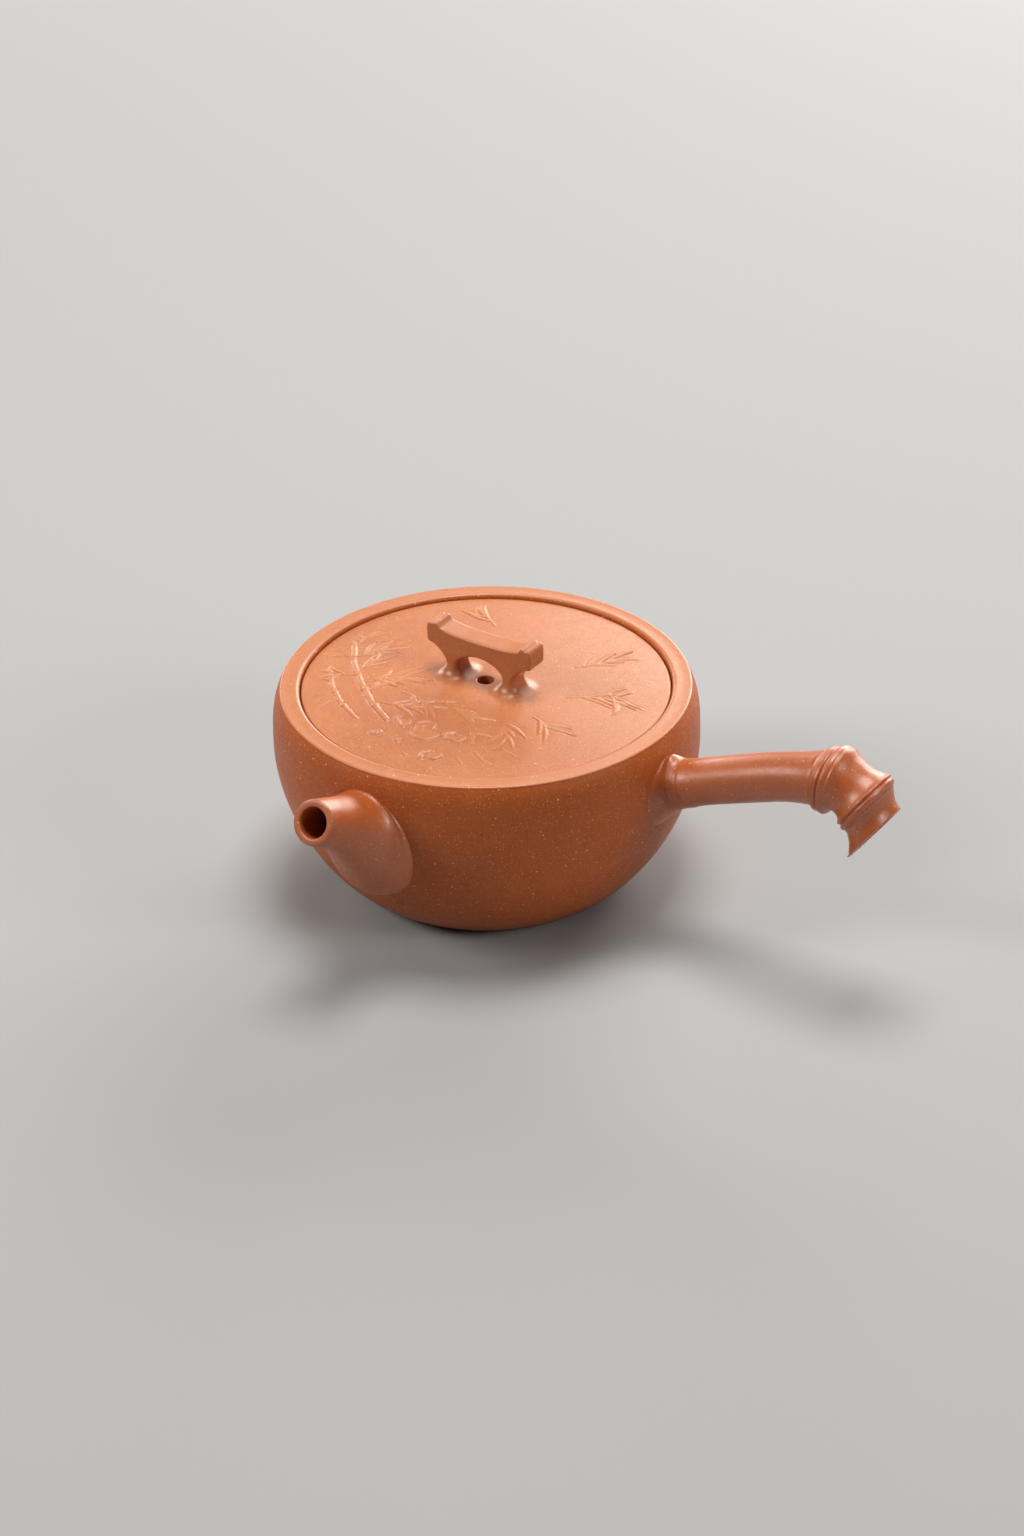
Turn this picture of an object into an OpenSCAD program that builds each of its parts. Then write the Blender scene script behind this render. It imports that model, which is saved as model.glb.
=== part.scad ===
// Side-handled clay teapot: a low round pot with a flush lid, a short trumpet spout
// and a bamboo-joint side handle set a quarter turn from the spout.
//
// Frame: the origin is the centre of the flat base on the table, +Z is up,
// +X runs along the handle and -Y along the spout. All sizes are millimetres.

/* [Pot body] */
// Widest diameter of the pot
body_d = 92; // [86:1:98]
// Height of the widest ring above the table
belly_z = 33; // [31:0.5:35]
// Height of the rim above the table
rim_z = 45.3; // [44.8:0.1:46]
// Diameter of the flat base
base_d = 53.4; // [48:0.2:58]
// How much narrower in radius the rim is than the widest ring
rim_tuck = 1.95; // [1.4:0.05:2.6]
// Thickness of the clay wall
wall_t = 2.6; // [2.2:0.1:3]
// Thickness of the base
base_t = 3; // [2.5:0.1:3.5]

/* [Mouth and lid] */
// Width of the flat band round the mouth
rim_band_w = 4.1; // [3.6:0.1:4.4]
// Gap between the lid's edge and the mouth
lid_gap = 0.4; // [0.3:0.05:0.6]
// Height of the mouth band above the seat that the lid rests on
mouth_depth = 3.3; // [3:0.1:3.6]
// How far the lid's edge lies below the rim
lid_sink = 0.8; // [0.5:0.1:1.2]
// How far the lid rises from its edge to its centre
lid_rise = 1.5; // [1:0.1:2]
// Width of the seat inside the mouth
seat_w = 2.7; // [2.4:0.1:3]
// Thickness of the seat
seat_t = 2.4; // [2:0.1:2.8]
// Height of the locating ring below the lid
flange_h = 4.8; // [4:0.1:6]
// Thickness of the locating ring
flange_t = 2.1; // [1.8:0.1:2.4]
// Diameter of the vent hole through the lid
vent_d = 3.7; // [3:0.1:4]

/* [Knob] */
// Length of the bridge knob from end to end
knob_l = 26.6; // [24:0.2:29]
// Width of the bridge knob
knob_w = 5.4; // [4.6:0.1:6.2]
// Height of the middle of the knob above the lid's centre
knob_h = 10.1; // [9:0.1:11]
// Thickness of the knob's middle
knob_t = 3.8; // [3.4:0.1:4.2]
// Half the width of the finger arch below the knob
arch_half_w = 5.7; // [5:0.1:6.4]

/* [Spout] */
// Outer diameter of the spout's mouth
spout_d = 9.6; // [9:0.1:10.4]
// Diameter of the spout's bore
spout_bore_d = 6.6; // [6:0.1:7]
// Length of the straight part of the spout's bore
spout_bore_l = 8; // [7:0.5:9]
// Diameter of the strainer behind the spout
strainer_d = 14.8; // [13.8:0.2:15.6]
// Diameter of the strainer's holes
strainer_hole_d = 1.6; // [1.2:0.1:1.8]

/* [Handle] */
// Thickness of the hollow handle's wall
handle_wall = 2.2; // [1.8:0.1:2.6]
// Diameter of the air hole in the outer joint
air_hole_d = 2; // [1.5:0.1:2.5]

/* [Hidden] */

$fn = 96;

// Clay colours
clay = [0.72, 0.38, 0.22];
clay_light = [0.80, 0.47, 0.30];
clay_dark = [0.58, 0.29, 0.17];
slip = [0.76, 0.43, 0.27];

// A small overlap that lets a cutter pass cleanly through a face
cut = 0.5;

// Radii and heights that follow from the driving dimensions
belly_r = body_d / 2;
base_r = base_d / 2;
rim_r = belly_r - rim_tuck;
mouth_r = rim_r - rim_band_w;
lid_r = mouth_r - lid_gap;
seat_z = rim_z - mouth_depth;
seat_r = mouth_r - seat_w;
base_disc_r = base_r - wall_t;

// How full the pot's curve is below and above the widest ring
lower_lift = 1.8;
lower_fullness = 1.44;
upper_fullness = 3.75;

// Radius of the pot's outside at height z
function outer_r(z) = z < belly_z
    ? base_r + (belly_r - base_r)
        * pow(1 - pow(1 - z / belly_z, lower_lift), 1 / lower_fullness)
    : belly_r - rim_tuck * pow((z - belly_z) / (rim_z - belly_z), upper_fullness);

// Radius of the pot's inside at height z
function inner_r(z) = z < belly_z
    ? base_disc_r + (belly_r - wall_t - base_disc_r)
        * pow(1 - pow(1 - (z - base_t) / (belly_z - base_t), lower_lift), 1 / lower_fullness)
    : outer_r(z) - wall_t;

// Heights from low to high, closer together near the low end
lower_steps = 14;
upper_steps = 7;
function lower_heights(low) =
    [for (i = [0:lower_steps]) low + (belly_z - low) * pow(i / lower_steps, 1.4)];
function upper_heights(low, high) =
    [for (i = [1:upper_steps]) low + (high - low) * i / upper_steps];
function heights(low, high) = concat(lower_heights(low), upper_heights(belly_z, high));

function reversed(list) = [for (i = [len(list) - 1:-1:0]) list[i]];
function outer_line(zs) = [for (z = zs) [outer_r(z), z]];
function inner_line(zs) = [for (z = zs) [inner_r(z), z]];

// The whole pot as a solid, to cut the spout and handle to its outside
module pot_outside() {
    rotate_extrude()
        polygon(concat([[0, 0]], outer_line(heights(0, rim_z)), [[0, rim_z]]));
}

// ---- Lofted tubes for the spout and the handle ----
//
// A station is [along, up, tilt, half width, half height]: a flat oval section whose
// centre lies in a vertical plane and whose face leans by tilt degrees above level.
// Each is placed from the pot's widest ring: how far out from it, and how far above.

ring_sides = 32;
loft_steps = 2;

function oval_station(out, above, tilt, half_w, half_h) =
    [belly_r + out, belly_z + above, tilt, half_w, half_h];
function round_station(out, above, tilt, r) = oval_station(out, above, tilt, r, r);

// Smooth curve through stations p1 and p2, with p0 before them and p3 after
function smooth(p0, p1, p2, p3, t) = 0.5 * (2 * p1 + (p2 - p0) * t
    + (2 * p0 - 5 * p1 + 4 * p2 - p3) * t * t
    + (3 * p1 - p0 - 3 * p2 + p3) * t * t * t);

// Stations from index first to last with smooth steps between them
function stretch(stations, first, last) = concat(
    [for (i = [first:last - 1], k = [0:loft_steps - 1])
        smooth(stations[max(i - 1, 0)], stations[i], stations[i + 1],
            stations[min(i + 2, len(stations) - 1)], k / loft_steps)],
    [stations[last]]);

// The points of one station's oval
function oval(s) = [for (k = [0:ring_sides - 1])
    let (a = 360 * k / ring_sides)
    [s[0] - s[4] * sin(a) * sin(s[2]), s[3] * cos(a), s[1] + s[4] * sin(a) * cos(s[2])]];

// A closed solid through a list of stations
module loft(stations) {
    n = len(stations);
    points = [for (s = stations) each oval(s)];
    side_faces = [for (i = [0:n - 2], k = [0:ring_sides - 1])
        let (k2 = (k + 1) % ring_sides, a = i * ring_sides, b = a + ring_sides)
        each [[a + k, b + k, b + k2], [a + k, b + k2, a + k2]]];
    start_face = [for (k = [0:ring_sides - 1]) k];
    end_face = [for (k = [ring_sides - 1:-1:0]) (n - 1) * ring_sides + k];
    polyhedron(points, concat([start_face], side_faces, [end_face]), convexity = 6);
}

// The same stations, shrunk by a wall thickness
function shrunk(stations, t) = [for (s = stations) [s[0], s[1], s[2], s[3] - t, s[4] - t]];

// The same stations with the first and last moved outwards, for a clean cut
function lengthened(stations, by) =
    let (n = len(stations), a = stations[0], b = stations[n - 1])
    concat([[a[0] - by * cos(a[2]), a[1] - by * sin(a[2]), a[2], a[3], a[4]]],
        stations,
        [[b[0] + by * cos(b[2]), b[1] + by * sin(b[2]), b[2], b[3], b[4]]]);

// Puts a piece drawn along +Z onto a station, +Z pointing out along the tube
module at_station(s) {
    translate([s[0], 0, s[1]])
        rotate([0, 90 - s[2], 0]) children();
}

// ---- Pot ----

// The round wall, from the table up to the level of the lid's seat
module body_wall() {
    color(clay)
    difference() {
        rotate_extrude()
            polygon(concat(
                [[base_disc_r, 0]],
                outer_line(heights(0, seat_z)),
                reversed(inner_line(heights(base_t, seat_z)))));
        strainer_place() cylinder(h = 4 * wall_t, r = strainer_d / 2, center = true);
    }
}

// The pressed-in base
module base_disc() {
    color(clay_dark)
    cylinder(h = base_t, r = base_disc_r);
}

// The band round the mouth, with a crisp outer edge and a rounded inner edge
rim_crown = 0.3;
rim_round = 0.5;
module rim_band() {
    band_heights = [for (i = [0:3]) seat_z + (rim_z - rim_crown - seat_z) * i / 3];
    color(clay_light)
    rotate_extrude()
        polygon(concat(
            [[mouth_r, seat_z]],
            outer_line(band_heights),
            [[rim_r - rim_crown, rim_z]],
            [for (a = [0:22.5:90])
                [mouth_r + rim_round * (1 - sin(a)), rim_z - rim_round * (1 - cos(a))]]));
}

// The ledge inside the mouth that the lid rests on, with its lower inner edge cut back
seat_chamfer = 0.8;
module lid_seat() {
    low_z = seat_z - seat_t;
    wall_line = inner_line(heights(base_t, seat_z));
    wall_low_r = lookup(low_z, [for (p = wall_line) [p[1], p[0]]]);
    color(clay_light)
    rotate_extrude()
        polygon(concat(
            [[seat_r, low_z + seat_chamfer], [seat_r + seat_chamfer, low_z]],
            [[wall_low_r, low_z]],
            [for (p = wall_line) if (p[1] > low_z) p],
            [[seat_r, seat_z]]));
}

// ---- Spout, drawn along +X and turned to -Y ----

spout_r = spout_d / 2;
spout_stations = [
    oval_station(-6.5, -6, -8, 11, 13.1),
    oval_station(-3.5, -5.5, -8, 11, 13.1),
    oval_station(-1.1, -4.9, -5, 10.9, 12.9),
    oval_station(0.4, -3.6, 3, 9.9, 11.6),
    oval_station(2.4, -1.1, 12, 8.2, 9.3),
    oval_station(4.8, 1.7, 20, 6.8, 7.3),
    oval_station(7.6, 4, 25, 5.9, 6.1),
    round_station(10.6, 5.95, 26, spout_r + 0.6),
    round_station(13.8, 7.7, 26, spout_r + 0.25),
    round_station(16.9, 9.2, 26, spout_r)
];
spout_tip = len(spout_stations) - 1;

// Puts a piece drawn along +X onto the spout's side of the pot
module to_spout_side() {
    rotate([0, 0, -90]) children();
}

// Puts a piece drawn along +Z onto the spout's mouth, +Z pointing out of it
module to_spout_mouth() {
    to_spout_side() at_station(spout_stations[spout_tip]) children();
}

// A round section on the bore's line, this far back from the mouth
function throat_station(back, r) =
    let (mouth = spout_stations[spout_tip])
    [mouth[0] - back * cos(mouth[2]), mouth[1] - back * sin(mouth[2]), mouth[2], r, r];

// The hollow behind the straight bore: thick-walled in the flare, and tapering through
// the bore's own radius where the two meet
flare_wall = 2.6;
flare_stations = 6;
throat_l = 0.5;
throat_taper = 0.15;
function spout_hollow() = concat(
    shrunk([for (i = [0:flare_stations - 1]) spout_stations[i]], flare_wall),
    [throat_station(spout_bore_l + throat_l, spout_bore_d / 2 + throat_taper),
     throat_station(spout_bore_l - throat_l, spout_bore_d / 2 - throat_taper)]);

module spout() {
    color(clay)
    difference() {
        to_spout_side() loft(stretch(spout_stations, 0, spout_tip));
        pot_outside();
        to_spout_side() loft(spout_hollow());
        to_spout_mouth()
            translate([0, 0, -spout_bore_l - 2 * throat_l])
                cylinder(h = spout_bore_l + 2 * throat_l + cut, r = spout_bore_d / 2);
    }
}

// ---- Strainer: a pierced dome let into the wall behind the spout ----

strainer_z = belly_z - 4;
strainer_wall = 1.5;
strainer_ring_l = 2.2;
strainer_pitch = 2.5;

// Centre of the strainer's mouth in the wall, +Z pointing into the pot
module strainer_place() {
    translate([0, -(outer_r(strainer_z) - strainer_ring_l / 2), strainer_z])
        rotate([-90, 0, 0]) children();
}

module strainer_holes() {
    cylinder(h = strainer_d * 2, r = strainer_hole_d / 2, center = true);
    for (row = [1:2], k = [0:6 * row - 1])
        rotate([0, 0, 360 * k / (6 * row)])
            translate([row * strainer_pitch, 0, 0])
                cylinder(h = strainer_d * 2, r = strainer_hole_d / 2, center = true);
}

module spout_strainer() {
    r = strainer_d / 2;
    color(clay_dark)
    strainer_place() difference() {
        union() {
            cylinder(h = strainer_ring_l, r = r, center = true);
            translate([0, 0, strainer_ring_l / 2]) sphere(r);
        }
        translate([0, 0, strainer_ring_l / 2]) sphere(r - strainer_wall);
        translate([0, 0, -r]) cylinder(h = r + strainer_ring_l / 2, r = r - strainer_wall);
        translate([0, 0, -r - strainer_ring_l / 2 - cut])
            cylinder(h = r + cut, r = r + cut);
        strainer_holes();
    }
}

// ---- Handle, along +X ----
//
// Three hollow lengths like bamboo, joined by two double-ridged joints. The sections
// lean as the handle bends down at its outer end.

handle_stations = [
    round_station(6, 3.9, 21, 5.2),
    round_station(10, 5.6, 21, 5),
    round_station(20, 9.5, 20, 5.15),
    round_station(28, 12.4, 17, 5.2),
    round_station(33.5, 14, 11, 5.45),
    round_station(37, 14.9, 3, 6),
    round_station(38.3, 15.2, -2, 6.9),
    round_station(39.2, 15.4, -4, 6.65),
    round_station(40.2, 15.6, -5, 7.4),
    round_station(41.6, 16, -9, 7),
    round_station(43.2, 15.3, -15, 6.2),
    round_station(44.9, 14.3, -26, 6.1),
    round_station(46.3, 13.7, -34, 6.6),
    round_station(47.1, 13.2, -36, 7.3),
    round_station(47.6, 12.7, -36, 7),
    round_station(48.1, 12.1, -36, 7.25),
    round_station(48.7, 10.8, -36, 6.6),
    round_station(49.2, 8.6, -36, 6.5),
    round_station(49.9, 6, -36, 7.35)
];
// Station numbers where the pieces meet
shank_end = 5;
inner_joint_end = 9;
middle_end = 12;
outer_joint_end = 16;
handle_tip = len(handle_stations) - 1;

// The collar's side view: distance back from its outer end, and radius. It swells to
// a ridge like a cane's joint just off the wall
collar_end = handle_stations[0];
collar_end_r = collar_end[3];
collar_l = 11;
collar_line = [
    [0, collar_end_r - handle_wall],
    [0, collar_end_r],
    [0.8, collar_end_r + 0.06],
    [1.5, collar_end_r + 0.2],
    [2.1, collar_end_r + 0.5],
    [2.7, collar_end_r + 0.8],
    [3.4, collar_end_r + 1],
    [4.2, collar_end_r + 1.05],
    [6, collar_end_r + 1.1],
    [collar_l, collar_end_r + 1.3],
    [collar_l, collar_end_r - handle_wall]
];

// The space inside a hollow length of the handle
module handle_bore(run) {
    loft(lengthened(shrunk(run, handle_wall), cut));
}

// One hollow length of the handle between two stations
module handle_length(first, last) {
    run = stretch(handle_stations, first, last);
    difference() {
        loft(run);
        handle_bore(run);
    }
}

// The collar that blends the handle into the pot, turned about the handle's first length
module handle_root_collar() {
    color(slip)
    difference() {
        at_station(collar_end)
            rotate_extrude()
                polygon([for (p = collar_line) [p[1], -p[0]]]);
        pot_outside();
    }
}

module handle_shank() {
    color(clay)
    handle_length(0, shank_end);
}

module handle_inner_joint() {
    color(clay_light)
    handle_length(shank_end, inner_joint_end);
}

module handle_middle() {
    color(clay)
    handle_length(inner_joint_end, middle_end);
}

// The outer joint is closed by a web with an air hole
module handle_outer_joint() {
    run = stretch(handle_stations, middle_end, outer_joint_end);
    web_at = handle_stations[middle_end + 1];
    color(clay_light)
    difference() {
        loft(run);
        difference() {
            handle_bore(run);
            at_station(web_at) cylinder(h = handle_wall, r = web_at[3], center = true);
        }
        at_station(web_at) cylinder(h = 4 * handle_wall, r = air_hole_d / 2, center = true);
    }
}

module handle_end() {
    color(clay)
    handle_length(outer_joint_end, handle_tip);
}

// ---- Lid ----

// The lid lies on the seat with this little room, and turns on its bead with this much
lid_rest_clear = 0.05;
bead_clear = 0.06;

lid_under_z = seat_z + lid_rest_clear;
lid_edge_z = rim_z - lid_sink;
lid_edge_round = 0.5;

// The locating ring stands this far clear inside the seat
ring_clear = 0.8;
ring_r = seat_r - ring_clear;
ring_inner_r = ring_r - flange_t;

// Height of the lid's top at radius r
function lid_top(r) = lid_edge_z + lid_rise * (1 - pow(r / lid_r, 2));

// The top of the lid from the centre out to its rounded edge
top_steps = 10;
function lid_top_line() = [for (i = [0:top_steps])
    let (r = (lid_r - lid_edge_round) * i / top_steps) [r, lid_top(r)]];

// The underside of the lid inside its ring, a little flatter than the top
under_steps = 5;
under_rise = 0.9 * lid_rise;
function lid_under_line() = [for (i = [0:under_steps])
    let (t = i / under_steps) [ring_inner_r * t, lid_under_z + under_rise * (1 - t * t)]];

// The solid below the lid's top, to cut the knob's feet to the lid
module below_lid_top() {
    rotate_extrude()
        polygon(concat(
            [[0, lid_under_z]], lid_top_line(), [[lid_r, lid_edge_z], [lid_r, lid_under_z]]));
}

module lid_disc() {
    color(clay_light)
    difference() {
        rotate_extrude()
            polygon(concat(
                lid_under_line(),
                [[lid_r, lid_under_z]],
                [for (a = [0:30:90])
                    [lid_r - lid_edge_round * (1 - cos(a)),
                     lid_edge_z - lid_edge_round * (1 - sin(a))]],
                reversed(lid_top_line())));
        cylinder(h = 3 * rim_z, r = vent_d / 2, center = true);
    }
}

// The ring below the lid that keeps it centred in the seat
module lid_locating_ring() {
    color(clay)
    translate([0, 0, lid_under_z - flange_h])
        difference() {
            cylinder(h = flange_h, r = ring_r);
            translate([0, 0, -cut])
                cylinder(h = flange_h + 2 * cut, r = ring_inner_r);
        }
}

// The bead of slip in the corner between the lid and its ring
bead_size = 1.6;
module lid_slip_bead() {
    r = ring_inner_r - bead_clear;
    z = lid_under_z - bead_clear;
    color(slip)
    rotate_extrude()
        polygon(concat(
            [[r, z]],
            [for (a = [0:22.5:90])
                [r - bead_size * (1 - sin(a)), z - bead_size * (1 - cos(a))]]));
}

// ---- Bridge knob: a saddle-topped bar with upturned ends on two legs ----

// Heights of the bar's middle and of its ends' undersides, and of the legs' waists
end_drop = 3.3;
knob_mid_z = lid_top(0) + knob_h;
knob_under_z = knob_mid_z - end_drop;
leg_waist_z = lid_top(0) + 2.7;
leg_half_w = 1.5;
// How straight the underside runs from an end to its leg: 1 is a quarter of an ellipse
leg_lean = 1.3;
leg_outer_x = arch_half_w + 2 * leg_half_w;
knob_end_x = knob_l / 2;

// The upturned ends: their length, their height above the middle, and their rounding,
// and how much the saddle between them dips
scroll_l = 3.4;
scroll_h = 1.8;
scroll_round = 0.6;
end_round = 0.5;
knob_saddle = 0.7;

// One half of the knob's side view, from the middle outwards and back
function saddle_line() = [for (i = [0:8])
    let (x = (knob_end_x - scroll_l) * i / 8)
    [x, knob_mid_z + knob_saddle * pow(x / (knob_end_x - scroll_l), 3)]];
function scroll_line() = [
    [knob_end_x - scroll_l + scroll_round / 2, knob_mid_z + scroll_h - scroll_round],
    [knob_end_x - scroll_l + 1.5 * scroll_round, knob_mid_z + scroll_h],
    [knob_end_x - scroll_round, knob_mid_z + scroll_h],
    [knob_end_x, knob_mid_z + scroll_h - scroll_round],
    [knob_end_x, knob_under_z + end_round],
    [knob_end_x - end_round, knob_under_z]
];
function leg_line() = [for (i = [0:8])
    let (a = 90 - 90 * i / 8, reach = knob_end_x - end_round - leg_outer_x)
    [leg_outer_x + reach * (1 - pow(cos(a), leg_lean)),
     leg_waist_z + (knob_under_z - leg_waist_z) * pow(sin(a), leg_lean)]];
function arch_line() = [for (i = [0:10])
    let (a = 90 * i / 10)
    [arch_half_w * cos(a), leg_waist_z + (knob_mid_z - knob_t - leg_waist_z) * sin(a)]];
function knob_half() = concat(
    saddle_line(), scroll_line(), leg_line(),
    [[leg_outer_x, lid_under_z], [arch_half_w, lid_under_z]],
    arch_line());

module knob_profile() {
    half = knob_half();
    other_half = [for (p = reversed(half)) if (p[0] > 0) [-p[0], p[1]]];
    polygon(concat(half, other_half));
}

module lid_knob() {
    color(clay_light)
    difference() {
        rotate([90, 0, 0])
            linear_extrude(height = knob_w, center = true) knob_profile();
        below_lid_top();
    }
}

// The slip that blends one leg of the knob into the lid: how high it climbs the leg,
// how far it spreads, and how deep its skirt goes to meet the crowned lid
slip_h = 1.8;
slip_w = 1.5;
slip_skirt = 1;
module foot_slip() {
    leg_x = arch_half_w + leg_half_w;
    difference() {
        hull() {
            translate([leg_x, 0, lid_top(0) - slip_skirt])
                linear_extrude(height = slip_skirt)
                    square([2 * (leg_half_w + slip_w), knob_w + 2 * slip_w], center = true);
            translate([leg_x, 0, lid_top(0)])
                linear_extrude(height = slip_h)
                    square([2 * leg_half_w, knob_w], center = true);
        }
        below_lid_top();
        translate([leg_x, 0, lid_top(0)])
            cube([2 * leg_half_w, knob_w, 4 * slip_h], center = true);
    }
}

module knob_right_foot_slip() {
    color(slip) foot_slip();
}

module knob_left_foot_slip() {
    color(slip) mirror([1, 0, 0]) foot_slip();
}

body_wall();
base_disc();
rim_band();
lid_seat();
spout();
spout_strainer();
handle_root_collar();
handle_shank();
handle_inner_joint();
handle_middle();
handle_outer_joint();
handle_end();
lid_slip_bead();
lid_disc();
lid_locating_ring();
lid_knob();
knob_left_foot_slip();
knob_right_foot_slip();
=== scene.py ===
"""The looks of a side-handled clay teapot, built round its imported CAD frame.

Lengths are millimetres in the frame's own axes until a mesh is made: the origin is the
centre of the base, +Z is up, +X runs along the handle and -Y along the spout.
"""

from math import ceil, cos, pi, radians, sin

import bmesh
import bpy
import numpy as np
from mathutils import Matrix, Vector


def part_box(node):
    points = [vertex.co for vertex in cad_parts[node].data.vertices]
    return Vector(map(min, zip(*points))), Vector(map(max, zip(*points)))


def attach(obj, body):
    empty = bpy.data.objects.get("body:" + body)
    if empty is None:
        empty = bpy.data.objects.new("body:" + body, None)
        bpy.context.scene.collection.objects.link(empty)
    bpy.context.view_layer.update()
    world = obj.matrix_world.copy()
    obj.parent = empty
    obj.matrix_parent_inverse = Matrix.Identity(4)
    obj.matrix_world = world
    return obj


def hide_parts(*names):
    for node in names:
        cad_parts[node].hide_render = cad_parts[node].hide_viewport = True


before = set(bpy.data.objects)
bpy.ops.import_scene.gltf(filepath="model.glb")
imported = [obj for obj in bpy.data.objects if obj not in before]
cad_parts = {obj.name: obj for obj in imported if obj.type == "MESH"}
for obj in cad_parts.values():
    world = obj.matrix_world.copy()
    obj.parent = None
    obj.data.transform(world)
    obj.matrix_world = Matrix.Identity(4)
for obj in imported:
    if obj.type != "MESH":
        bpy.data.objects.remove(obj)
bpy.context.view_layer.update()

MM = 0.001
FULL_TURN = 2 * pi


# ---- Sizes, measured on the CAD nodes ----

def radii_heights(mesh):
    """How far each vertex of a mesh is from the pot's axis, and how high, in mm."""
    points = np.zeros(len(mesh.vertices) * 3)
    mesh.vertices.foreach_get("co", points)
    x, y, z = points.reshape(-1, 3).T / MM
    return np.hypot(x, y), z


def measured(node):
    return radii_heights(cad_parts[node].data)


def extent(node):
    """A CAD node's least and greatest radius, then its least and greatest height."""
    r, z = measured(node)
    return r.min(), r.max(), z.min(), z.max()


wall_radii, wall_heights = measured("body_wall")
belly_r = wall_radii.max()
belly_z = wall_heights[wall_radii.argmax()]
base_r = wall_radii[wall_heights < 0.01].max()
_, base_disc_r, _, base_t = extent("base_disc")
wall_t = base_r - base_disc_r
mouth_r, _, seat_z, rim_z = extent("rim_band")
seat_r, _, seat_low_z, _ = extent("lid_seat")
vent_r, design_lid_r, lid_under_z, lid_crown_z = extent("lid_disc")
ring_inner_r, ring_r, ring_low_z, _ = extent("lid_locating_ring")
bead_inner_r, bead_r, _, bead_z = extent("lid_slip_bead")

# The curve of the pot, as the design has it
rim_crown = 0.3
band_radii, band_heights = measured("rim_band")
rim_r = band_radii[band_heights > rim_z - 0.01].max() + rim_crown
rim_tuck = belly_r - rim_r
lower_lift = 1.8
lower_fullness = 1.44
upper_fullness = 3.75

# The lid's crown: its top falls from the centre to the edge by the square of the radius.
# Its edge stands out a little past the design's, to close the gap at the rim
lid_r = design_lid_r + 0.18
lid_edge_round = 0.5
lid_radii, lid_heights = measured("lid_disc")
lid_edge_z = lid_heights[lid_radii > design_lid_r - 0.01].max() + lid_edge_round
lid_rise = (lid_crown_z - lid_edge_z) / (1 - (vent_r / lid_r) ** 2)


def outer_r(z):
    """Radius of the pot's outside at height z."""
    z = np.clip(z, 0, rim_z)
    share = np.clip(1 - z / belly_z, 0, 1)
    below = base_r + (belly_r - base_r) * (1 - share ** lower_lift) ** (1 / lower_fullness)
    lean = np.clip((z - belly_z) / (rim_z - belly_z), 0, 1)
    return np.where(z < belly_z, below, belly_r - rim_tuck * lean ** upper_fullness)


def inner_r(z):
    """Radius of the pot's inside at height z."""
    share = np.clip(1 - (z - base_t) / (belly_z - base_t), 0, 1)
    rise = (1 - share ** lower_lift) ** (1 / lower_fullness)
    below = base_disc_r + (belly_r - wall_t - base_disc_r) * rise
    return np.where(z < belly_z, below, outer_r(z) - wall_t)


def lid_top(r):
    return lid_edge_z + lid_rise * (1 - (r / lid_r) ** 2)


# ---- Lines and grids of points ----

def spaced(line, step):
    """The same line with points every step or so."""
    line = np.asarray(line, float)
    along = np.concatenate([[0], np.cumsum(np.linalg.norm(np.diff(line, axis=0), axis=1))])
    at = np.linspace(0, along[-1], max(2, ceil(along[-1] / step) + 1))
    return np.stack([np.interp(at, along, line[:, k]) for k in range(line.shape[1])], -1)


def arc(centre, radius, start, end, count=7):
    """Points on an arc from start to end degrees."""
    a = np.radians(np.linspace(start, end, count))
    return np.stack([centre[0] + radius * np.cos(a), centre[1] + radius * np.sin(a)], -1)


def joined(*lines):
    """One line through several, without the points they share."""
    whole = np.concatenate([np.asarray(line, float).reshape(-1, 2) for line in lines])
    apart = np.linalg.norm(np.diff(whole, axis=0), axis=1) > 1e-6
    return whole[np.concatenate([[True], apart])]


def columns(count, dense=(), width=0.35, extra=2.5):
    """Angles round the pot, closer together near the angles in dense."""
    fine = np.linspace(0, FULL_TURN, 4001)
    weight = np.ones_like(fine)
    for angle in dense:
        away = np.angle(np.exp(1j * (fine - angle)))
        weight += extra * np.exp(-(away / width) ** 2)
    total = np.concatenate([[0], np.cumsum((weight[1:] + weight[:-1]) / 2)])
    return np.interp(np.linspace(0, total[-1], count + 1), total, fine)


def turned(line, angles):
    """Grid of a line of (radius, height) points turned about the pot's axis."""
    r, z = line[:, :1], line[:, 1:]
    return np.stack([r * np.cos(angles), r * np.sin(angles), z + 0 * angles], -1)


# ---- Meshes ----

SHARP_ANGLE = radians(38)


def clean_faces(faces):
    """Faces without repeated corners."""
    for face in faces:
        corners = list(dict.fromkeys(face))
        if len(corners) > 2:
            yield corners


def linked(name, data):
    """A new object in the scene."""
    made = bpy.data.objects.new(name, data)
    bpy.context.scene.collection.objects.link(made)
    return made


def mesh_object(name, points, faces):
    """An object from points in mm and faces, with its normals outwards."""
    mesh = bpy.data.meshes.new(name)
    mesh.from_pydata((points * MM).tolist(), [], faces)
    shape = bmesh.new()
    shape.from_mesh(mesh)
    loose = [v for v in shape.verts if not v.link_faces]
    bmesh.ops.delete(shape, geom=loose, context="VERTS")
    bmesh.ops.recalc_face_normals(shape, faces=shape.faces)
    shape.to_mesh(mesh)
    shape.free()
    return linked(name, mesh)


def soften(piece, angle=SHARP_ANGLE):
    """Shades a piece smooth, but for edges sharper than an angle."""
    piece.data.shade_smooth()
    piece.data.set_sharp_from_angle(angle=angle)
    return piece


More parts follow.
